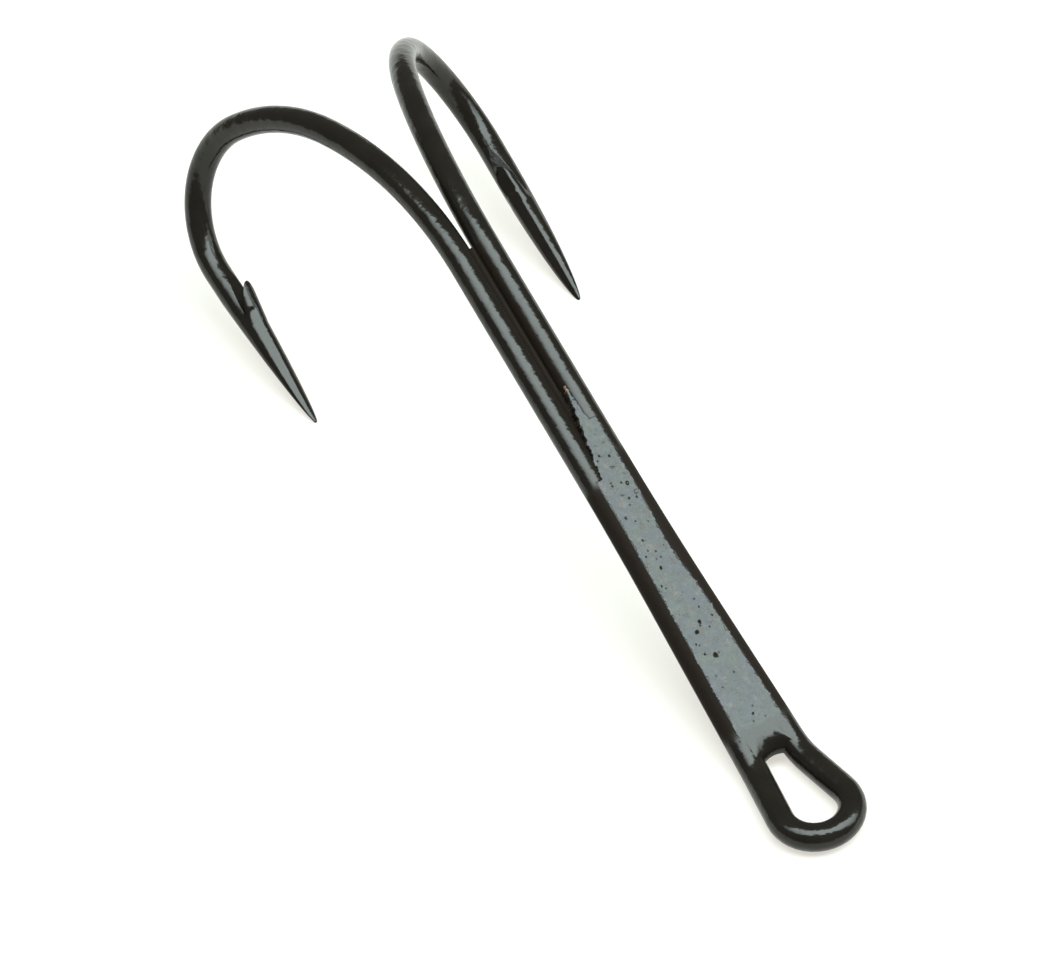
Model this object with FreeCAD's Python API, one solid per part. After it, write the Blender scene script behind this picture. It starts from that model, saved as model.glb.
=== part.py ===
import FreeCAD, Part
import math
import os

# Double hook for salmon flies. One steel wire starts at a barbed point, turns through a bend, runs up
# the shank, loops round the eye, and comes back down to the second bend and the second point.
# Braze fills the grooves between the two shank wires, once from the front and once from the back.
#
# The shapes are drawn in a shank frame and then laid down to rest:
#   x runs from the fold of the eye towards the bends, y to the first hook's side, z out of the front.

# Wire
wire_diameter = 1.1
shank_length = 23.2         # from the fold of the eye to where the bends start
shank_gap = 0.12            # clear gap between the two shank wires, filled with braze
hook_spread = 58.8          # angle between the planes of the two hooks, in degrees

# Bend of each hook: three tangent arcs, each with a centreline radius and a turn in degrees
shoulder_radius = 14.8
shoulder_turn = 34.6
side_radius = 8.5
side_turn = 36.5
heel_radius = 3.7
heel_turn = 113.0

# Point leg, from the end of the bend to the sharp end
leg_run = 1.2               # bend to barb tip
spear_length = 6.5          # barb tip to sharp end
barb_rise = 0.55            # barb tip above the surface of the wire
barb_width = 0.92           # diameter of the barb's rounded back
barb_run = 2.0              # barb tip to where the barb ends inside the spear
barb_foot_sink = 0.12       # its back below the top of the spear's root there
cut_lead = 0.95             # floor of the cut under the barb starts this far before the barb tip
cut_run = 2.4               # length of the floor of the cut
cut_depth = 0.24            # floor below the surface of the wire, at its deep end
taper_run = 0.1             # barb tip to where the wire starts to taper
root_run = 1.7              # barb tip to the thick root of the spear
root_rise = 0.14            # its top above the surface of the wire
root_shrink = 0.02          # its radius, less than the wire's
waist_back = 2.4            # where the spear turns steeper, measured back from the sharp end
waist_width = 0.80          # never less than the thickness
waist_thickness = 0.65
waist_lift = 0.10           # middle of the waist above the line of the leg
tip_width = 0.10

# Eye, turned up out of the shank
fold_spacing = 1.93         # between the wire centres at the fold
splay_start = 10.3          # from the fold, where the shank wires begin to part
splay_blend = 3.3           # tangent length of the soft corner there
fold_radius = 2.75          # centreline radius of each wire's fold into the eye
eye_radius = 1.4            # centreline radius of the ring
eye_reach = 2.72            # from the fold to the ring's centre
eye_tilt = 22.0             # ring above the line of the shank, in degrees

# Braze
braze_throat = 0.4          # nearest point of both fills to the ring, measured from the fold
meniscus_radius = 0.45      # hollow in the fills that faces the ring
front_fill_length = 17.0    # far end of the full front fill, measured from the fold
front_fill_drop = 0.05      # fill below the crowns of the wires
front_bead_height = 0.16    # thin bead beyond it, above the middle of the wires
front_bead_over = 0.5       # bead past the start of the bends
back_fill_length = 20.0
back_fill_drop = 0.16

wire_radius = wire_diameter / 2
half_pitch = (wire_diameter + shank_gap) / 2
half_fold = fold_spacing / 2
origin = FreeCAD.Vector(0, 0, 0)
x_axis = FreeCAD.Vector(1, 0, 0)
y_axis = FreeCAD.Vector(0, 1, 0)
z_axis = FreeCAD.Vector(0, 0, 1)


def rod(start, end):
    """Straight stretch of the wire."""
    return Part.makeCylinder(wire_radius, (end - start).Length, start, end - start)


def elbow(start, tangent, inward, radius, turn):
    """Bent stretch that turns towards inward, with its far end and the tangent there."""
    centre = start + inward * radius
    axis = tangent.cross(inward)
    disc = Part.Face(Part.Wire(Part.Circle(start, tangent, wire_radius).toShape()))
    spin = FreeCAD.Rotation(axis, turn)
    solid = disc.revolve(centre, axis, turn)
    return solid, centre + spin.multVec(start - centre), spin.multVec(tangent)


def corner(before, point, after, tangent_length):
    """Soft corner at point: where it starts and ends, its tangent, inward direction, radius, turn."""
    arriving = (point - before).normalize()
    leaving = (after - point).normalize()
    turn = arriving.getAngle(leaving)
    inward = (leaving - arriving * arriving.dot(leaving)).normalize()
    radius = tangent_length / math.tan(turn / 2)
    start = point - arriving * tangent_length
    end = point + leaving * tangent_length
    return start, end, arriving, inward, radius, math.degrees(turn)


def oval(along, lift, width, thickness):
    """Cross-section of the spear, in the leg's own frame."""
    centre = FreeCAD.Vector(along, 0, lift)
    outline = Part.Ellipse(centre + y_axis * width / 2, centre + z_axis * thickness / 2, centre)
    return Part.Wire(outline.toShape())


def side_prism(outline):
    """Solid twice as wide as the wire with the given side view, in the leg's own frame."""
    points = [FreeCAD.Vector(along, -wire_diameter, height) for along, height in outline]
    return Part.Face(Part.makePolygon(points + points[:1])).extrude(y_axis * 2 * wire_diameter)


def point_leg():
    """Straight leg with its barb and spear. Its own frame: x to the sharp end, z to the shank."""
    length = leg_run + spear_length
    root_width = wire_diameter - 2 * root_shrink
    wire_end = Part.makeCylinder(wire_radius, leg_run + taper_run, origin, x_axis)
    spear = Part.makeLoft([
        oval(leg_run + taper_run, 0, wire_diameter, wire_diameter),
        oval(leg_run + root_run, root_rise + root_shrink, root_width, root_width),
        oval(length - waist_back, waist_lift, waist_width, waist_thickness),
        oval(length, 0, tip_width, tip_width),
    ], True, True)

    # The barb is the end of a round-backed sliver that leans out of the spear
    tip = FreeCAD.Vector(leg_run, 0, wire_radius + barb_rise)
    foot = FreeCAD.Vector(leg_run + barb_run, 0, wire_radius + root_rise - barb_foot_sink)
    back = foot - tip
    into_wire = y_axis.cross(back).normalize() * barb_width / 2
    sliver = Part.makeCylinder(barb_width / 2, 3 * back.Length, tip + into_wire - back, back)
    above = wire_radius + 2 * barb_rise
    inside = wire_radius - 2 * cut_depth
    barb = sliver.common(side_prism([(0, inside), (foot.x, inside), (foot.x, above), (0, above)]))

    # The cut under it has a shallow floor and a steep side that frees the barb's underside
    floor_slope = cut_depth / cut_run
    before = (leg_run - 2 * cut_lead, wire_radius + floor_slope * cut_lead)
    deep_end = (leg_run - cut_lead + cut_run, wire_radius - cut_depth)
    beyond_tip = (2 * tip.x - deep_end[0], 2 * tip.z - deep_end[1])
    notch = side_prism([before, deep_end, beyond_tip, (before[0], beyond_tip[1])])
    return wire_end.multiFuse([spear, barb]).cut(notch)


def bend_stretches():
    """The three arcs of the first hook's bend, with the leg's place at their end."""
    lean = math.radians(hook_spread / 2)
    position = FreeCAD.Vector(shank_length, half_pitch, 0)
    heading = x_axis
    inward = FreeCAD.Vector(0, math.sin(lean), -math.cos(lean))
    stretches = []
    for radius, turn in ((shoulder_radius, shoulder_turn), (side_radius, side_turn), (heel_radius, heel_turn)):
        axis = heading.cross(inward)
        stretch, position, heading = elbow(position, heading, inward, radius, turn)
        inward = axis.cross(heading)
        stretches.append(stretch)
    turned = FreeCAD.Rotation(heading, inward.cross(heading), inward, "XYZ")
    return stretches, FreeCAD.Placement(position, turned)


def shank_stretches():
    """First shank wire, from the bend to the fold."""
    bend = FreeCAD.Vector(shank_length, half_pitch, 0)
    start, end, tangent, inward, radius, turn = corner(bend, splay, fold, splay_blend)
    fold_start = fold_corner()[0]
    return [rod(bend, start), elbow(start, tangent, inward, radius, turn)[0], rod(end, fold_start)]


def fold_corner():
    """Corner where the first wire leaves the shank and heads for the ring."""
    turn = (fold - splay).getAngle(touch - fold)
    return corner(splay, fold, touch, fold_radius * math.tan(turn / 2))


def eye_stretches():
    """First wire's fold, its run at the ring, and its half of the ring."""
    start, end, tangent, inward, radius, turn = fold_corner()
    half_ring = math.degrees((touch - ring_centre).getAngle(eye_up))
    return [
        elbow(start, tangent, inward, radius, turn)[0],
        rod(end, touch),
        elbow(touch, (touch - fold).normalize(), (ring_centre - touch).normalize(), eye_radius, half_ring)[0],
    ]


def mirrored(shape):
    return shape.mirror(origin, y_axis)


def fill_block(x_low, x_high, height):
    """Block between the crown lines of the two wires, on the side that height points to."""
    def crown(x):
        share = min(x / splay_start, 1)
        return half_fold + (half_pitch - half_fold) * share

    bends_at = [x_low] + [splay_start] * (x_low < splay_start < x_high) + [x_high]
    outline = [FreeCAD.Vector(x, crown(x), 0) for x in bends_at]
    outline += [FreeCAD.Vector(x, -crown(x), 0) for x in reversed(bends_at)]
    return Part.Face(Part.makePolygon(outline + outline[:1])).extrude(z_axis * height)


def lowest(shape, tilt):
    """Lowest point of the shape once the shank is raised by tilt degrees at the bend end."""
    return shape.rotated(origin, y_axis, -tilt).optimalBoundingBox(False).ZMin


def rest_tilt(eye_end, point_end):
    """Tilt at which the eye and the two sharp ends stand on the same level."""
    low, high = 0.0, 60.0
    for _ in range(40):
        middle = (low + high) / 2
        if lowest(point_end, middle) < lowest(eye_end, middle):
            low = middle
        else:
            high = middle
    return (low + high) / 2


# Where the first wire goes: corner of the splay, corner of the fold, and touch, where it meets the ring
splay = FreeCAD.Vector(splay_start, half_pitch, 0)
fold = FreeCAD.Vector(0, half_fold, 0)
eye_up = FreeCAD.Vector(-math.cos(math.radians(eye_tilt)), 0, math.sin(math.radians(eye_tilt)))
ring_centre = eye_up * eye_reach
swing = math.degrees(math.acos(eye_radius / (fold - ring_centre).Length))
spoke = FreeCAD.Rotation(eye_up.cross(y_axis), -swing).multVec(fold - ring_centre).normalize()
touch = ring_centre + spoke * eye_radius

# Hook wire
bend, leg_place = bend_stretches()
leg = point_leg()
leg.Placement = leg_place
eye = eye_stretches()
first_half = bend + [leg] + shank_stretches() + eye
second_half = [mirrored(stretch) for stretch in first_half]
hook_wire = bend[0].multiFuse(first_half[1:] + second_half).removeSplitter()

# Braze
fill_start = braze_throat - meniscus_radius
hollow = Part.makeCylinder(meniscus_radius, 2 * wire_diameter, FreeCAD.Vector(fill_start, 0, -wire_diameter))
front_fill = fill_block(fill_start, front_fill_length, wire_radius - front_fill_drop)
front_bead = fill_block(front_fill_length, shank_length + front_bead_over, front_bead_height)
back_fill = fill_block(fill_start, back_fill_length, back_fill_drop - wire_radius)
front_braze = front_fill.fuse(front_bead).cut(hollow.fuse(hook_wire)).removeSplitter()
back_braze = back_fill.cut(hollow.fuse(hook_wire)).removeSplitter()

# Laid down to rest on the fold and the two sharp ends, with the origin under the middle
nodes = {"hook_wire": hook_wire, "front_braze": front_braze, "back_braze": back_braze}
tilt = rest_tilt(Part.makeCompound(eye), leg)
laid = {name: shape.rotated(origin, y_axis, -tilt) for name, shape in nodes.items()}
box = laid["hook_wire"].optimalBoundingBox(False)
to_rest = FreeCAD.Vector(-box.Center.x, -box.Center.y, -box.ZMin)

os.makedirs("parts", exist_ok=True)
for name, shape in laid.items():
    resting = shape.translated(to_rest)
    print(name, len(resting.Solids), "solid", round(resting.Volume, 2), "mm3, valid", resting.isValid())
    resting.exportStep("parts/" + name + ".step")
print("tilt", round(tilt, 2), "box", [round(side, 2) for side in (box.XLength, box.YLength, box.ZLength)])
ring_rest = FreeCAD.Rotation(y_axis, -tilt).multVec(ring_centre) + to_rest
print("ring centre", [round(value, 3) for value in ring_rest])
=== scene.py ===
import math

import bmesh
import bpy
import numpy as np
from mathutils import Matrix, Vector, noise


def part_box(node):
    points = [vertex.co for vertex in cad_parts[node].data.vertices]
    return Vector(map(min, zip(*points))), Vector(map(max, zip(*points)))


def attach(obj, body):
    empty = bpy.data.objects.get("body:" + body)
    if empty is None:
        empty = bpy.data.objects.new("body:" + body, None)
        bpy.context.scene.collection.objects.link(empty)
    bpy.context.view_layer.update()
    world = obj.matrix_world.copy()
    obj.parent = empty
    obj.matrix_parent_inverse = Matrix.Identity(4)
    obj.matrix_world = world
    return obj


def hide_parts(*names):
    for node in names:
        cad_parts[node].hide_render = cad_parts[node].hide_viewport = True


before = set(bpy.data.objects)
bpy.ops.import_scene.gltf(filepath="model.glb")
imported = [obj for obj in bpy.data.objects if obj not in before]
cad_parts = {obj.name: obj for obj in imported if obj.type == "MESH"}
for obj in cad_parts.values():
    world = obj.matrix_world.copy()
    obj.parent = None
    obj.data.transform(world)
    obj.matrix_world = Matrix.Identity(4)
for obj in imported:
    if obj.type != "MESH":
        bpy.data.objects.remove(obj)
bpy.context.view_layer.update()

mm = 0.001
scene = bpy.context.scene

# ---------------------------------------------------------------------------------------------------
# Camera. The hook lies on a table, seen from the eye's end and from above, through a long lens.

camera_data = bpy.data.cameras.new("camera")
camera_data.sensor_width = 36
camera_data.lens = 203.2
camera_data.clip_start = 0.01
camera_data.clip_end = 10
camera = bpy.data.objects.new("camera", camera_data)
scene.collection.objects.link(camera)
scene.camera = camera
camera_place = Vector((-140.86, 69.44, 176.23)) * mm
camera_aim = Vector((-1.28, 2.17, 4.0)) * mm
camera_roll = math.radians(-5.71)
camera_turn = (camera_aim - camera_place).to_track_quat("-Z", "Y").to_matrix()
camera.matrix_world = (
    Matrix.Translation(camera_place) @ (camera_turn @ Matrix.Rotation(camera_roll, 3, "Z")).to_4x4())

# ---------------------------------------------------------------------------------------------------
# Floor and light. A white table with a glow of its own, so that only the closest shadows show, under one
# long soft light. The room is dim, which leaves the lacquer black beside its highlights.

square = ((-1, -1), (1, -1), (1, 1), (-1, 1))
one_face = [(0, 1, 2, 3)]
floor_mesh = bpy.data.meshes.new("floor")
floor_reach = 2.0
floor_corners = [(x * floor_reach, y * floor_reach, 0) for x, y in square]
floor_mesh.from_pydata(floor_corners, [], one_face)
floor = bpy.data.objects.new("floor", floor_mesh)
scene.collection.objects.link(floor)
paper = bpy.data.materials.new("white_table")
paper.use_nodes = True
paper_shader = paper.node_tree.nodes["Principled BSDF"]
paper_shader.inputs["Base Color"].default_value = (0.35, 0.35, 0.34, 1)
paper_shader.inputs["Roughness"].default_value = 0.75
paper_shader.inputs["Emission Color"].default_value = (1.0, 0.96, 0.88, 1)
paper_shader.inputs["Emission Strength"].default_value = 0.62
floor_mesh.materials.append(paper)

world = bpy.data.worlds.new("dim_room")
world.use_nodes = True
world.node_tree.nodes["Background"].inputs["Color"].default_value = (0.97, 0.98, 0.93, 1)
world.node_tree.nodes["Background"].inputs["Strength"].default_value = 0.2
scene.world = world

# The light hangs overhead, with its length across the hook. It fades from the middle to both ends, and
# in a narrow band at its long sides.
light_distance = 0.4
light_shift_along = 0.04
light_shift_across = 0.07
light_sideways = Vector((-0.930, 0.365, 0.045))
light_up = Vector((-0.067, -0.290, 0.955)).normalized()
light_along = light_sideways.cross(light_up).normalized()
light_across = light_up.cross(light_along)
light_centre = light_up * light_distance + light_along * light_shift_along + light_across * light_shift_across
light_half_length = light_along * 0.74
light_half_width = light_across * 0.134
light_corners = [
    light_centre + light_half_length * along + light_half_width * across for along, across in square]
light_mesh = bpy.data.meshes.new("soft_light")
light_mesh.from_pydata(light_corners, [], one_face)
light_map = light_mesh.uv_layers.new(name="corners")
for loop, corner in zip(light_map.data, ((0, 0), (1, 0), (1, 1), (0, 1))):
    loop.uv = corner
glow = bpy.data.materials.new("soft_light")
glow.use_nodes = True
glow_nodes, glow_links = glow.node_tree.nodes, glow.node_tree.links
glow_nodes.clear()
glow_place = glow_nodes.new("ShaderNodeUVMap")
glow_place.uv_map = "corners"
glow_parts = glow_nodes.new("ShaderNodeSeparateXYZ")
glow_links.new(glow_place.outputs["UV"], glow_parts.inputs["Vector"])
fades = []
for axis, fade in (("X", 0.48), ("Y", 0.09)):
    fade_ramp = glow_nodes.new("ShaderNodeValToRGB")
    fade_ramp.color_ramp.interpolation = "EASE"
    for end in fade_ramp.color_ramp.elements:
        end.color = (0, 0, 0, 1)
    for at in (fade, 1 - fade):
        fade_ramp.color_ramp.elements.new(at).color = (1, 1, 1, 1)
    glow_links.new(glow_parts.outputs[axis], fade_ramp.inputs["Fac"])
    fades.append(fade_ramp.outputs["Color"])
glow_shape = glow_nodes.new("ShaderNodeMath")
glow_shape.operation = "MULTIPLY"
glow_links.new(fades[0], glow_shape.inputs[0])
glow_links.new(fades[1], glow_shape.inputs[1])
glow_strength = glow_nodes.new("ShaderNodeMath")
glow_strength.operation = "MULTIPLY"
glow_strength.inputs[1].default_value = 9.0
glow_links.new(glow_shape.outputs["Value"], glow_strength.inputs[0])
glow_shader = glow_nodes.new("ShaderNodeEmission")
glow_shader.inputs["Color"].default_value = (0.87, 1.0, 0.98, 1)
glow_links.new(glow_strength.outputs["Value"], glow_shader.inputs["Strength"])
glow_out = glow_nodes.new("ShaderNodeOutputMaterial")
glow_links.new(glow_shader.outputs["Emission"], glow_out.inputs["Surface"])
light_mesh.materials.append(glow)
soft_light = bpy.data.objects.new("soft_light", light_mesh)
scene.collection.objects.link(soft_light)

scene.view_settings.view_transform = "Standard"

# ---------------------------------------------------------------------------------------------------
# Hook wire. One high-carbon steel wire, bent, barbed and ground to a point at both ends, folded into
# an upturned eye in the middle, hardened, and dipped in black lacquer.

# Lengths are in millimetres, with x running from the fold of the eye along the shank to the bends, y to
# the side and z to the front. Each arc of the bend has a radius and a turn in degrees.
wire_radius = 0.55
shank_length = 23.2
half_pitch = 0.61
half_spread = math.radians(29.4)
bend_arcs = ((14.8, 34.6), (8.5, 36.5), (3.7, 113.0))
leg_length = 7.7
half_fold = 0.965
splay_start = 10.3
splay_blend = 3.3
fold_radius = 2.75
eye_radius = 1.4
eye_reach = 2.72
eye_tilt = math.radians(22.0)
rest_tilt = math.radians(21.53)
path_step = 0.22


def unit(vector):
    return vector / np.linalg.norm(vector)


def turned(vector, axis, angle):
    """The vector turned about a unit axis."""
    return (vector * math.cos(angle) + np.cross(axis, vector) * math.sin(angle)
            + axis * np.dot(axis, vector) * (1 - math.cos(angle)))


def arc_points(start, tangent, inward, radius, turn):
    """Points of an arc after its start, its end's tangent and its end's inward direction."""
    axis = np.cross(tangent, inward)
    centre = start + inward * radius
    count = max(3, round(radius * turn / path_step))
    angles = [turn * step / count for step in range(1, count + 1)]
    points = [centre + turned(start - centre, axis, angle) for angle in angles]
    return points, turned(tangent, axis, turn), turned(inward, axis, turn)


def run_points(start, end):
    """Points of a straight run after its start."""
    count = max(2, round(np.linalg.norm(end - start) / path_step))
    return [start + (end - start) * step / count for step in range(1, count + 1)]


def corner_points(before, corner, after, tangent_length):
    """Where a rounded corner starts, and the points of its arc after that."""
    arriving = unit(corner - before)
    leaving = unit(after - corner)
    turn = math.acos(np.dot(arriving, leaving))
    inward = unit(leaving - arriving * np.dot(arriving, leaving))
    start = corner - arriving * tangent_length
    radius = tangent_length / math.tan(turn / 2)
    return start, arc_points(start, arriving, inward, radius, turn)[0]


# Bend, from the shank to the point leg, and the place and directions of the leg at its end
outward = np.array([0, math.sin(half_spread), -math.cos(half_spread)])
bend_start = np.array([shank_length, half_pitch, 0])
bend_points, leg_heading, leg_inward = [bend_start], np.array([1.0, 0, 0]), outward
for radius, turn in bend_arcs:
    points, leg_heading, leg_inward = arc_points(
        bend_points[-1], leg_heading, leg_inward, radius, math.radians(turn))
    bend_points += points
leg_start = bend_points[-1]
leg_side = np.cross(leg_inward, leg_heading)

# Shank wire, fold and half of the eye, from the bend to the far side of the ring
splay = np.array([splay_start, half_pitch, 0])
fold = np.array([0, half_fold, 0])
eye_up = np.array([-math.cos(eye_tilt), 0, math.sin(eye_tilt)])
ring_centre = eye_up * eye_reach
ring_axis = np.cross(eye_up, [0, 1, 0])
to_fold = fold - ring_centre
swing = math.acos(eye_radius / np.linalg.norm(to_fold))
touch = ring_centre + turned(unit(to_fold), ring_axis, -swing) * eye_radius
fold_turn = math.acos(np.dot(unit(fold - splay), unit(touch - fold)))
splay_first, splay_arc = corner_points(bend_start, splay, fold, splay_blend)
fold_first, fold_arc = corner_points(splay, fold, touch, fold_radius * math.tan(fold_turn / 2))
spoke = unit(touch - ring_centre)
half_ring = math.acos(np.dot(spoke, eye_up))
ring_arc = arc_points(touch, unit(touch - fold), -spoke, eye_radius, half_ring)[0]
shank_points = run_points(bend_start, splay_first) + splay_arc + run_points(splay_arc[-1], fold_first)
eye_points = fold_arc + run_points(fold_arc[-1], touch) + ring_arc

first_half = np.array(bend_points[::-1] + shank_points + eye_points)
first_half[-1, 1] = 0
second_half = (first_half * [1, -1, 1])[-2::-1]
shank_frame_path = np.vstack([first_half, second_half])

# Laid down at rest, the fold of the eye and the two points on the table
to_rest = np.array([
    [math.cos(rest_tilt), 0, -math.sin(rest_tilt)],
    [0, 1, 0],
    [math.sin(rest_tilt), 0, math.cos(rest_tilt)]])
wire_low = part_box("hook_wire")[0]
resting_path = shank_frame_path @ to_rest.T
eye_part = np.array(eye_points) @ to_rest.T
shift = np.array([
    wire_low.x / mm + wire_radius - resting_path[:, 0].min(),
    0,
    wire_low.z / mm + wire_radius - eye_part[:, 2].min()])


def at_rest(points):
    """Shank-frame millimetres to the hook's resting place, in metres."""
    return (np.asarray(points) @ to_rest.T + shift) * mm


path_curve = bpy.data.curves.new("hook_path", "CURVE")
path_curve.dimensions = "3D"
line = path_curve.splines.new("POLY")
line.points.add(len(resting_path) - 1)
for point, place in zip(line.points, at_rest(shank_frame_path)):
    point.co = (*place, 1)
path_object = bpy.data.objects.new("hook_path", path_curve)
scene.collection.objects.link(path_object)

# Lacquer: near-black with a warm cast, glossy, with fine grain and a slight orange peel. It is dull and
# brown where a surface carries tarnish, and coppery where the surface is bare.


def grey(value):
    return (value, value, value)


def lacquer_material(name, bloom):
    """Black japan lacquer; bloom from 0 to 1 is the strength of the patches on the dressed flat."""
    material = bpy.data.materials.new(name)
    material.use_nodes = True
    nodes, links = material.node_tree.nodes, material.node_tree.links
    shader = nodes["Principled BSDF"]
    place = nodes.new("ShaderNodeTexCoord")

    def clouds(scale, detail, rough=0.5):
        texture = nodes.new("ShaderNodeTexNoise")
        texture.inputs["Scale"].default_value = scale
        texture.inputs["Detail"].default_value = detail
        texture.inputs["Roughness"].default_value = rough
        links.new(place.outputs["Object"], texture.inputs["Vector"])
        return texture.outputs["Fac"]

    def ramp(value, *stops):
        node = nodes.new("ShaderNodeValToRGB")
        links.new(value, node.inputs["Fac"])
        for element, (at, colour) in zip(node.color_ramp.elements, stops):
            element.position = at
            element.color = (*colour, 1)
        return node.outputs["Color"]

    def mixed(factor, below, above):
        node = nodes.new("ShaderNodeMix")
        node.data_type = "RGBA"
        links.new(factor, node.inputs["Factor"])
        links.new(below, node.inputs["A"])
        if isinstance(above, tuple):
            node.inputs["B"].default_value = (*above, 1)
        else:
            links.new(above, node.inputs["B"])
        return node.outputs["Result"]

    def carried(attribute):
        """The value that the surface itself carries under a name."""
        node = nodes.new("ShaderNodeAttribute")
        node.attribute_name = attribute
        return node.outputs["Fac"]

    def bump(height, distance):
        node = nodes.new("ShaderNodeBump")
        node.inputs["Strength"].default_value = 1.0
        node.inputs["Distance"].default_value = distance
        links.new(height, node.inputs["Height"])
        return node

    darker, lighter = (0.0075, 0.0060, 0.0045), (0.0125, 0.0097, 0.0070)
    colour = ramp(clouds(scale=900, detail=4), (0.3, darker), (0.75, lighter))
    gloss = ramp(clouds(scale=17000, detail=3, rough=0.6), (0.35, grey(0.08)), (0.68, grey(0.25)))
    if bloom:
        # Bloom in small patches on the dressed flat: bluish, greenish, a few of them pinkish
        bluish, greenish, pinkish = (0.016, 0.024, 0.040), (0.024, 0.038, 0.028), (0.085, 0.058, 0.056)
        patches = ramp(clouds(scale=3600, detail=7, rough=0.8), (0.40, grey(0)), (0.60, grey(bloom)))
        cool = ramp(clouds(scale=1500, detail=4, rough=0.6), (0.42, bluish), (0.58, greenish))
        pink = ramp(clouds(scale=2400, detail=5, rough=0.7), (0.54, grey(0)), (0.66, grey(1)))
        bloomed = mixed(patches, colour, mixed(pink, cool, pinkish))
        colour = mixed(carried("dressed"), colour, bloomed)
    brown, coppery, dull = (0.0135, 0.0095, 0.0072), (0.30, 0.18, 0.145), grey(0.6)
    tarnish = carried("tarnish")
    colour = mixed(tarnish, colour, brown)
    gloss = mixed(tarnish, gloss, dull)
    links.new(ramp(tarnish, (0, grey(0.5)), (1, grey(0.08))), shader.inputs["Specular IOR Level"])
    bare = carried("bare")
    colour = mixed(bare, colour, coppery)
    gloss = mixed(bare, gloss, dull)
    links.new(colour, shader.inputs["Base Color"])
    links.new(gloss, shader.inputs["Roughness"])
    shader.inputs["IOR"].default_value = 1.4

    fine_grain = bump(clouds(scale=9000, detail=3, rough=0.45), distance=0.003 * mm)
    orange_peel = bump(clouds(scale=2600, detail=2, rough=0.4), distance=0.024 * mm)
    links.new(fine_grain.outputs["Normal"], orange_peel.inputs["Normal"])
    links.new(orange_peel.outputs["Normal"], shader.inputs["Normal"])
    return material


wire_lacquer = lacquer_material("black_lacquer_on_steel", bloom=0)

# The drawn wire: a round section run along the whole path, with the coat's slow unevenness
sweep = bpy.data.node_groups.new("lacquered_wire", "GeometryNodeTree")
sweep.interface.new_socket(name="Path", in_out="INPUT", socket_type="NodeSocketGeometry")
sweep_inputs = {}
for input_name, value in (
        ("Wire Radius", wire_radius * mm),
        ("Coat Unevenness", 0.006 * mm),
        ("Coat Scale", 260.0)):
    socket = sweep.interface.new_socket(name=input_name, in_out="INPUT", socket_type="NodeSocketFloat")
    sweep_inputs[socket.identifier] = value
sides_socket = sweep.interface.new_socket(name="Sides", in_out="INPUT", socket_type="NodeSocketInt")
wire_sides = 64
sweep_inputs[sides_socket.identifier] = wire_sides
sweep.interface.new_socket(name="Wire", in_out="OUTPUT", socket_type="NodeSocketGeometry")


def sweep_node(kind, **settings):
    node = sweep.nodes.new(kind)
    for key, value in settings.items():
        setattr(node, key, value)
    return node


group_in = sweep_node("NodeGroupInput")
group_out = sweep_node("NodeGroupOutput")
section = sweep_node("GeometryNodeCurvePrimitiveCircle")
tube = sweep_node("GeometryNodeCurveToMesh")
coat_noise = sweep_node("ShaderNodeTexNoise", noise_dimensions="3D")
centred = sweep_node("ShaderNodeMath", operation="SUBTRACT")
centred.inputs[1].default_value = 0.5
depth = sweep_node("ShaderNodeMath", operation="MULTIPLY")
normal = sweep_node("GeometryNodeInputNormal")
push = sweep_node("ShaderNodeVectorMath", operation="SCALE")
moved = sweep_node("GeometryNodeSetPosition")
smooth = sweep_node("GeometryNodeSetShadeSmooth")
realize = sweep_node("GeometryNodeRealizeInstances")
coated = sweep_node("GeometryNodeSetMaterial")
coated.inputs["Material"].default_value = wire_lacquer
join = sweep.links.new
join(group_in.outputs["Path"], tube.inputs["Curve"])
join(group_in.outputs["Sides"], section.inputs["Resolution"])
join(group_in.outputs["Wire Radius"], section.inputs["Radius"])
join(section.outputs["Curve"], tube.inputs["Profile Curve"])
join(group_in.outputs["Coat Scale"], coat_noise.inputs["Scale"])
join(coat_noise.outputs[0], centred.inputs[0])
join(centred.outputs[0], depth.inputs[0])
join(group_in.outputs["Coat Unevenness"], depth.inputs[1])
join(normal.outputs[0], push.inputs[0])
join(depth.outputs[0], push.inputs["Scale"])
join(tube.outputs["Mesh"], moved.inputs["Geometry"])
join(push.outputs[0], moved.inputs["Offset"])
join(moved.outputs["Geometry"], smooth.inputs["Geometry"])
join(smooth.outputs["Geometry"], realize.inputs["Geometry"])
join(realize.outputs["Geometry"], coated.inputs["Geometry"])
join(coated.outputs["Geometry"], group_out.inputs["Wire"])

wire_modifier = path_object.modifiers.new("lacquered_wire", "NODES")
wire_modifier.node_group = sweep
for identifier, value in sweep_inputs.items():
    wire_modifier[identifier] = value
bpy.context.view_layer.update()
swept_path = path_object.evaluated_get(bpy.context.evaluated_depsgraph_get())
wire_mesh = bpy.data.meshes.new_from_object(swept_path)
wire_mesh.name = "hook_wire_lacquered"
bpy.data.objects.remove(path_object)

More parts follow.
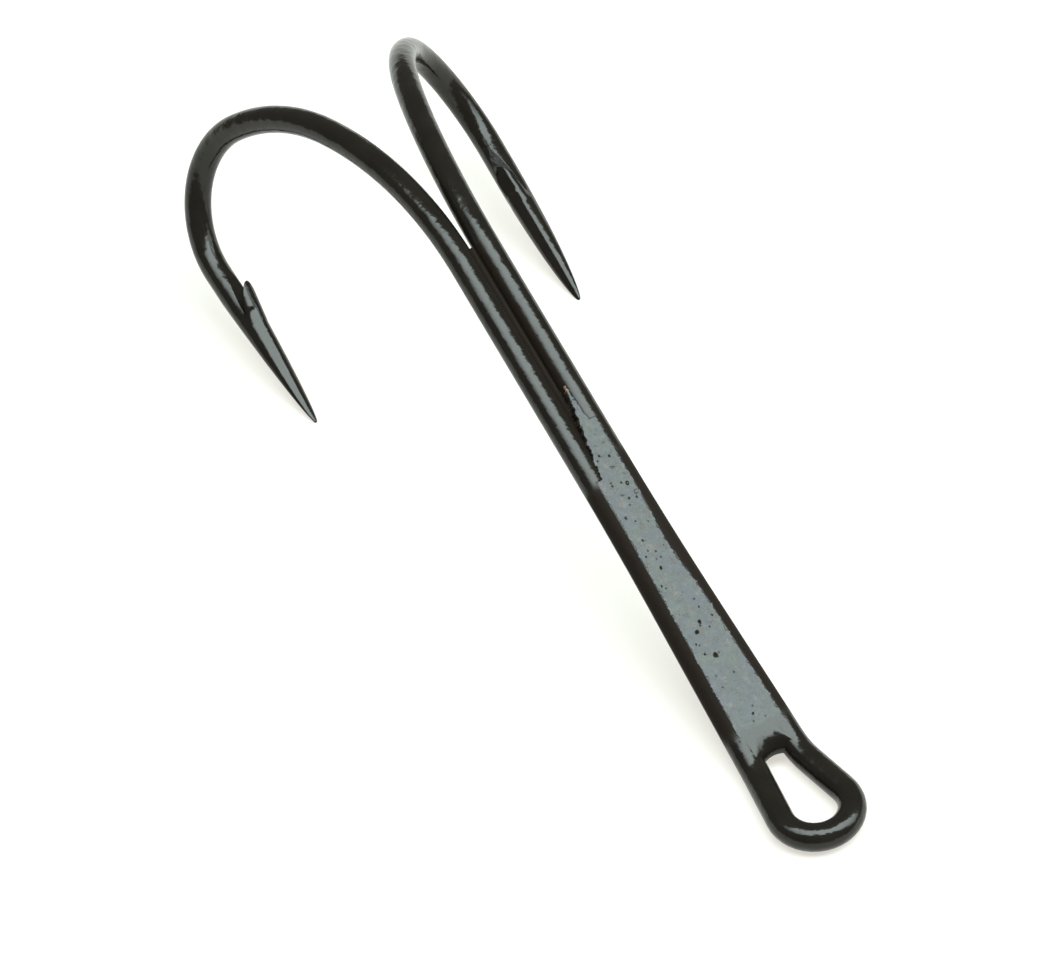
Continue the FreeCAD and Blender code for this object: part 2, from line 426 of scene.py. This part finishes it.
# Point leg: the spear is ground to an upright oval that thins to the tip, and the barb is a sliver
# raised by a cut into the inner side. Each line along the leg keeps its own angle round the wire. The
# lines nearer the top than the edge line run down the cut, back up under the barb and over it.
taper_start = 1.3
cut_start = 0.25
cut_end = 2.65
root = 2.9
root_top = 0.69
barb_tip = 1.2
barb_top = 1.1
tip_radius = 0.05
top_fullness = 0.92
side_fullness = 0.65
tip_bluntness = 0.6
tip_crowding = 1.15
rows_before_cut = 17
rows_in_cut = 28
rows_to_root = 30
rows_of_spear = 90
edge_line = 10
edge_angle = 2 * math.pi * edge_line / wire_sides
cut_floor = wire_radius * math.cos(edge_angle)
barb_radius = wire_radius * math.sin(edge_angle)
floor_slope = (wire_radius - cut_floor) / (cut_end - cut_start)
barb_slope = (barb_top - barb_radius - cut_floor) / (cut_end - barb_tip)
under_slope = (barb_top - cut_floor) / (cut_end - barb_tip)


def steps(count):
    """Even steps from 0 to 1, without the 0."""
    return np.linspace(0, 1, count + 1)[1:]


def spear_section(along):
    """Top, bottom and half-width of the section at a distance along the leg."""
    top_share = np.clip((along - root) / (leg_length - root), 0, 1)
    top = tip_radius + (root_top - tip_radius) * (1 - top_share) ** top_fullness
    rising = np.clip((along - cut_end) / (root - cut_end), 0, 1)
    top = wire_radius * (1 - rising) + top * rising
    low_share = np.clip((along - taper_start) / (leg_length - taper_start), 0, 1)
    bottom = wire_radius + (tip_radius - wire_radius) * low_share
    half_width = tip_radius + (wire_radius - tip_radius) * (1 - low_share ** 2) ** side_fullness
    return top, bottom, half_width


def leg_line(angle, in_cut):
    """One line of the leg's surface, as rows of (along, side, height)."""
    side_share, height_share = math.sin(angle), math.cos(angle)

    def on_spear(along):
        top, bottom, half_width = spear_section(along)
        height = np.where(height_share >= 0, top, bottom) * height_share
        return np.stack([along, half_width * side_share, height], axis=1)

    def on_slope(along, slope):
        height = cut_floor + (cut_end - along) * slope
        return np.stack([along, np.full(len(along), side), height], axis=1)

    stretch = np.linspace(0, 1, rows_before_cut)
    if not in_cut:
        before = on_spear(stretch * cut_end)
        rows = [before, np.repeat(before[-1:], 2 * rows_in_cut, axis=0)]
    else:
        side = wire_radius * side_share
        floor_begins = cut_end - (wire_radius * height_share - cut_floor) / floor_slope
        before = on_spear(stretch * floor_begins)
        before[:, 1] = side
        floor_rows = on_slope(floor_begins + (cut_end - floor_begins) * steps(rows_in_cut), floor_slope)
        reach = math.sqrt(max(barb_radius ** 2 - side ** 2, 0)) / (under_slope - barb_slope)
        under_rows = on_slope(cut_end - reach * steps(rows_in_cut), under_slope)
        rows = [before, floor_rows, under_rows]
    last = rows[-1][-1]
    back = on_spear(last[0] + (root - last[0]) * steps(rows_to_root))
    if in_cut:
        axis_height = cut_floor + (cut_end - back[:, 0]) * barb_slope
        rounded = np.sqrt(np.maximum(barb_radius ** 2 - back[:, 1] ** 2, 0))
        back[:, 2] = np.maximum(axis_height + rounded, back[:, 2])
    spear = on_spear(root + (leg_length - root) * (1 - (1 - steps(rows_of_spear)) ** tip_crowding))
    return np.vstack(rows + [back, spear])


def leg_grid(ground_faces):
    """All lines of one leg, as an array of (line, row, 3), with flat faces ground along it.

    A face has its first and last place along the leg, its angle round the wire, and its depth as a
    share of the thickness there.
    """
    lines = []
    for number in range(wire_sides):
        signed = number if number <= wire_sides // 2 else number - wire_sides
        lines.append(leg_line(2 * math.pi * signed / wire_sides, abs(signed) < edge_line))
    grid = np.array(lines)
    along = grid[..., 0]
    top, _, half_width = spear_section(along)
    barb_axis = cut_floor + (cut_end - along) * barb_slope
    for first, last, face_angle, face_share in ground_faces:
        facing = np.array([math.sin(face_angle), math.cos(face_angle)])
        reach = np.hypot(half_width * facing[0], top * facing[1])
        reach = np.where(along < root, np.maximum(reach, barb_axis * facing[1] + barb_radius), reach)
        above_face = np.maximum(grid[..., 1:] @ facing - reach * (1 - face_share), 0)
        above_face *= (along > first) & (along < last)
        grid[..., 1:] -= above_face[..., None] * facing
    return grid


def add_leg(target, grid, hand):
    """Adds one point leg to a bmesh and returns its vertices, all but the tip.

    The hand is 1 for the first hook and -1 for its mirror image.
    """
    start = leg_start * [1, hand, 1]
    ways = np.array([leg_heading, leg_side, leg_inward]) * [1, hand, 1]
    places = at_rest(grid @ ways + start)
    vertices = [[target.verts.new(place) for place in line] for line in places]
    tip_reach = leg_length + tip_radius * tip_bluntness
    tip = target.verts.new(at_rest(start + ways[0] * tip_reach))
    faces = []
    for number in range(wire_sides):
        here, there = vertices[number], vertices[(number + 1) % wire_sides]
        for row in range(len(here) - 1):
            faces.append(target.faces.new((here[row], here[row + 1], there[row + 1], there[row])))
        faces.append(target.faces.new((here[-1], tip, there[-1])))
    for face in faces:
        face.smooth = True
    return [vertex for line in vertices for vertex in line]


# Each leg starts a hair past the wire's open end, and a ring of faces closes the gap. The two points
# are ground differently: the first has a flat flank, the second a flat on its barb and one on its spear.
hook = bmesh.new()
hook.from_mesh(wire_mesh)
open_ends = [edge for edge in hook.edges if edge.is_boundary]
setback = 0.04
weld_distance = 0.0004 * mm
close_by = 2 * wire_radius * mm
barb_face = (barb_tip, 2.45, math.radians(12), 0.12)
flank_face = (2.35, leg_length, math.radians(-33), 0.07)
inner_face = (2.55, leg_length, math.radians(10), 0.09)
for hand, ground_faces in ((1, (flank_face,)), (-1, (barb_face, inner_face))):
    grid = leg_grid(ground_faces)
    grid[:, 0, 0] += setback
    leg_vertices = add_leg(hook, grid, hand)
    bmesh.ops.remove_doubles(hook, verts=leg_vertices, dist=weld_distance)
    ring_edges = [edge for edge in hook.edges if edge.is_boundary and edge not in open_ends]
    leg_place = Vector(at_rest(leg_start * [1, hand, 1]))
    wire_edges = [edge for edge in open_ends if (edge.verts[0].co - leg_place).length < close_by]
    bmesh.ops.bridge_loops(hook, edges=ring_edges + wire_edges)
    open_ends = [edge for edge in open_ends if edge not in wire_edges]

# The coat rounds every edge of the cut and the barb
barb_middle = 1.9
rounding_reach = 1.9 * mm
rounding_passes = 3
for hand in (1, -1):
    middle = Vector(at_rest((leg_start + leg_heading * barb_middle) * [1, hand, 1]))
    near_barb = [vertex for vertex in hook.verts if (vertex.co - middle).length < rounding_reach]
    for _ in range(rounding_passes):
        bmesh.ops.smooth_vert(
            hook, verts=near_barb, factor=0.5, use_axis_x=True, use_axis_y=True, use_axis_z=True)
bmesh.ops.recalc_face_normals(hook, faces=hook.faces)
for face in hook.faces:
    face.smooth = True
hook.to_mesh(wire_mesh)
hook.free()
hook_wire = bpy.data.objects.new("hook_wire_lacquered", wire_mesh)
scene.collection.objects.link(hook_wire)
if not wire_mesh.materials:
    wire_mesh.materials.append(wire_lacquer)
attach(hook_wire, "root")
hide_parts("hook_wire")

# ---------------------------------------------------------------------------------------------------
# Braze. Brass melted into the front and back grooves between the two shank wires and lacquered over with
# the wire. The front is dressed flush from the eye on and ends as a thin seam; the back is left hollow.

braze_lacquer = lacquer_material("black_lacquer_on_braze", bloom=1.0)

# Each run starts in a rounded nose at the eye. It reaches past the wires' centres, hidden below their
# surface wherever it is not dressed. Its underside lies a hair past the middle plane, in coarser faces.
nose = 0.25
nose_curve = 0.5
nose_blend = 2.5
side_reach = 0.27
below_wire = 0.03
below_middle = 0.002
under_step = 3

# The flat starts nearer the eye at its sides than on the middle line, and laps over the wires' crowns.
# Its edges are toothed, and its face has low waves and ripples.
flat_start = 1.28
flat_start_curve = 1.20
flat_start_bend = 2.5
flat_half_width = 0.9
flat_lap = 0.13
flat_end = 17.0
edge_width = 0.06
coarse_teeth = 0.05
fine_teeth = 0.07
calm_length = 0.4
sink_end = 1.6
sink_length = 0.9
sink_depth = 0.02
wave_height = 0.005
ripple_height = 0.0025
flush = wire_radius + 0.005

# Between these two places, the flat's edge on each side draws in along a straight line
left_taper = ((12.86, 0.50), (flat_end, -0.19))
right_taper = ((15.3, -0.46), (flat_end, -0.33))

# On the right the flat is worn back a little, most of all at one place
worn_depth = 0.14
worn_place = 9.3
worn_length = 1.6

# Past the flat the front braze is a thin seam with a low ridge, as far as the fork of the two wires
seam_level = 0.15
seam_ridge = 0.02
seam_half_width = 0.08
seam_tarnish_start = 12.5
fork = 23.75

# The back is a hollow that rises a little towards the wires
hollow_level = 0.40
hollow_rise = 0.08
back_end = 20.0
back_rounding = 0.5

# The rim of the flat, where specks and fringe lie, and the patch of bare copper
rim_middle = 0.03
rim_width = 0.07
copper_place = (16.80, -0.25)
copper_radius = 0.13
fringe_strength = 0.14

pit_raggedness = 9
pit_wall = 0.6

# Place along and across, radius and depth of each larger pit
big_pits = ((6.06, -0.03, 0.085, 0.05), (5.76, 0.28, 0.07, 0.05), (4.62, 0.10, 0.10, 0.035),
            (11.85, -0.53, 0.08, 0.06), (8.66, 0.20, 0.07, 0.05), (12.3, -0.40, 0.07, 0.05))


def ease(value):
    value = np.clip(value, 0, 1)
    return value * value * (3 - 2 * value)


def wire_centre(x):
    """Distance of each shank wire's centre from the middle plane."""
    return half_pitch + (half_fold - half_pitch) * np.clip(1 - x / splay_start, 0, 1)


def wire_surface(x, y):
    """Height of the nearer wire's surface over the middle plane."""
    beside = np.abs(np.abs(y) - wire_centre(x))
    return np.sqrt(np.maximum(wire_radius ** 2 - beside ** 2, 0))


def grain(x, y, size, layer):
    """Smooth random unevenness between about -1 and 1, with features of one size; layers differ."""
    field = [noise.noise(Vector((a / size, b / size, layer))) for a, b in zip(x.ravel(), y.ravel())]
    return np.array(field).reshape(x.shape)


def along_line(x, line):
    (start, first), (end, last) = line
    return first + (last - first) * np.clip((x - start) / (end - start), 0, 1)


def rounded_nose(x, y):
    """Share of its full height that the braze has where it rounds down to the eye."""
    tip = nose - nose_curve * y ** 2
    full = flat_start - flat_start_curve * np.clip(np.abs(y) / flat_half_width, 0, 1) ** flat_start_bend
    return np.sqrt(np.clip(1 - np.clip((full - x) / (full - tip), 0, 1) ** 2, 0, 1))


def flat_edges(x):
    """Where the dressed flat ends on the left and on the right."""
    centre = wire_centre(x)
    left = np.where(x < left_taper[0][0], centre + flat_lap, along_line(x, left_taper))
    worn_back = worn_depth * np.exp(-((x - worn_place) / worn_length) ** 2)
    right = np.where(x < right_taper[0][0], worn_back - centre - flat_lap, along_line(x, right_taper))
    return left, right


def pit_depths(x, y, teeth):
    """Depth of the pits in the flat, their rims made ragged by the unevenness of its edges."""
    depths = np.zeros_like(x)
    for pit_x, pit_y, radius, depth in list(big_pits) + small_pits:
        from_middle = np.hypot(x - pit_x, y - pit_y)
        near = from_middle < 2 * radius
        ragged = from_middle[near] + pit_raggedness * radius * teeth[near]
        inward = ease((radius - ragged) / (pit_wall * radius))
        depths[near] = np.maximum(depths[near], depth * inward)
    return depths


def front_skin(x, y):
    """Height of the front braze, and how dressed, tarnished and bare its skin is."""
    centre = wire_centre(x)
    beside_crown = np.abs(np.abs(y) - centre)
    teeth = coarse_teeth * grain(x, y, size=0.20, layer=1.5) + fine_teeth * grain(x, y, size=0.08, layer=4.5)
    left, right = flat_edges(x)
    inside = np.minimum(left - y, y - right) + teeth
    inside = np.minimum(inside, (flat_end - x) * 0.5 + teeth)
    on_flat = ease(inside / edge_width)

    calm = ease((x - flat_start) / calm_length)
    sinking = ease((sink_end - x) / sink_length) * ease((0.4 - beside_crown) / 0.2)
    waves = wave_height * grain(x, y, size=0.30, layer=7.5)
    ripples = ripple_height * grain(x, y, size=0.10, layer=9.5)
    pits = pit_depths(x, y, teeth)
    dressed = flush - sink_depth * sinking + (waves + ripples - pits) * calm

    seam = seam_level + seam_ridge * np.cos(np.clip(y / seam_half_width, -1, 1) * math.pi / 2)
    sunk = np.where(np.abs(y) < centre, seam, np.minimum(seam, wire_surface(x, y) - below_wire))
    height = np.maximum((sunk * (1 - on_flat) + dressed * on_flat) * rounded_nose(x, y), 0)

    # Tarnish lies in specks at the flat's edges, in its pits and along the seam. The flat's far end is
    # bare copper, and so is a faint fringe.
    edge = ease(1 - np.abs(inside - rim_middle) / rim_width) * (x < flat_end)
    specks = ease((grain(x, y, size=0.09, layer=12.5) - 0.05) / 0.15)
    tarnish = np.maximum(edge * specks, ease(pits / 0.02)) * calm
    tarnish = np.maximum(tarnish, (1 - on_flat) * ease((x - seam_tarnish_start) / 0.5))
    copper = ease(1.6 - np.hypot(x - copper_place[0], y - copper_place[1]) / copper_radius)
    patchy = ease((grain(x, y, size=0.07, layer=17.5) - 0.1) / 0.15)
    fringe = fringe_strength * edge * patchy * calm
    return height, {"dressed": on_flat * calm, "tarnish": tarnish, "bare": np.maximum(copper, fringe)}


def back_skin(x, y):
    """Height of the back braze: a hollow run a little below the crowns."""
    hollow = hollow_level + hollow_rise * np.clip(np.abs(y) / wire_centre(x), 0, 1) ** 2
    hollow = hollow + 0.006 * grain(x, y, size=0.3, layer=20.5)
    beyond = np.abs(y) > wire_centre(x)
    height = np.where(beyond, np.minimum(hollow, wire_surface(x, y) - below_wire), hollow)
    height = height * rounded_nose(x, y) * np.sqrt(np.clip((back_end - x) / back_rounding, 0, 1))
    return height, {}


def braze_piece(name, side, end, rows, columns, skin):
    """Closed run of braze on one side of the middle plane; the skin gives its height and tones."""
    first = nose - nose_curve
    x_line = np.linspace(first, end, rows)
    x = np.repeat(x_line[:, None], columns, axis=1)
    y = np.linspace(-1, 1, columns)[None, :] * (wire_centre(np.maximum(x, 0)) + side_reach)
    nose_line = nose - nose_curve * y ** 2
    x = x + (nose_line - first) * (1 - ease((x - first) / nose_blend))
    height, tones = skin(x, y)
    top = np.stack([x, y, side * height], axis=2).reshape(-1, 3)
    mesh = bmesh.new()
    vertices = [mesh.verts.new(place) for place in at_rest(top)]
    under_columns = range(0, columns, under_step)
    under = []
    for column in under_columns:
        below = [[x[row, column], y[row, column], -below_middle * side] for row in range(rows)]
        under.append([mesh.verts.new(at_rest(place)) for place in below])
    for row in range(rows - 1):
        for column in range(columns - 1):
            at = row * columns + column
            mesh.faces.new([vertices[i] for i in (at, at + columns, at + columns + 1, at + 1)])
        for here, there in zip(under, under[1:]):
            mesh.faces.new((here[row], there[row], there[row + 1], here[row + 1]))
        start, stop = row * columns, row * columns + columns - 1
        mesh.faces.new((vertices[start], under[0][row], under[0][row + 1], vertices[start + columns]))
        mesh.faces.new((vertices[stop], vertices[stop + columns], under[-1][row + 1], under[-1][row]))
    for row in (0, rows - 1):
        for here, there, first_column in zip(under, under[1:], under_columns):
            line = [vertices[row * columns + first_column + step] for step in range(under_step + 1)]
            mesh.faces.new(line + [there[row], here[row]])
    bmesh.ops.recalc_face_normals(mesh, faces=mesh.faces)
    for face in mesh.faces:
        face.smooth = True
    data = bpy.data.meshes.new(name)
    mesh.to_mesh(data)
    mesh.free()
    for attribute, values in tones.items():
        layer = data.attributes.new(attribute, "FLOAT", "POINT")
        padded = np.concatenate([values.ravel(), np.zeros(len(under) * rows)])
        layer.data.foreach_set("value", padded.astype(np.float32))
    piece = bpy.data.objects.new(name, data)
    scene.collection.objects.link(piece)
    data.materials.append(braze_lacquer)
    return piece


# Range of the small pits' place along and across, radius and depth
pit_ranges = ((1.5, 14.0), (-0.6, 0.6), (0.025, 0.05), (0.01, 0.03))
pit_count = 45
rng = np.random.default_rng(7)
small_pits = [tuple(rng.uniform(low, high) for low, high in pit_ranges) for _ in range(pit_count)]
front_braze = braze_piece("front_braze_lacquered", 1, fork, rows=780, columns=79, skin=front_skin)
back_braze = braze_piece("back_braze_lacquered", -1, back_end, rows=240, columns=43, skin=back_skin)
for piece, node in ((front_braze, "front_braze"), (back_braze, "back_braze")):
    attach(piece, "root")
    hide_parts(node)

# The flame left the wires brown and dull on the front, beside the flat and in the groove between them
scorch_lap = 0.09
scorch_edge = 0.05
left_scorch_end = 12.9
right_scorch_end = 14.2
groove_reach = 0.36
scorch_start = 1.0
places = np.empty(len(wire_mesh.vertices) * 3, dtype=np.float32)
wire_mesh.vertices.foreach_get("co", places)
x, y, z = ((places.reshape(-1, 3) / mm - shift) @ to_rest).T
left, right = flat_edges(x)
left_scorch = ease((y - left + scorch_lap) / scorch_edge) * ease((left_scorch_end - x) / 0.5)
right_scorch = ease((right + scorch_lap - y) / scorch_edge) * ease((right_scorch_end - x) / 0.8)
groove_scorch = ease((groove_reach - np.abs(y)) / 0.1) * (x < fork)
scorched = np.maximum(np.maximum(left_scorch, right_scorch), groove_scorch)
scorched = scorched * ease((x - scorch_start) / 0.8) * (z > 0)
wire_tarnish = wire_mesh.attributes.new("tarnish", "FLOAT", "POINT")
wire_tarnish.data.foreach_set("value", scorched.astype(np.float32))
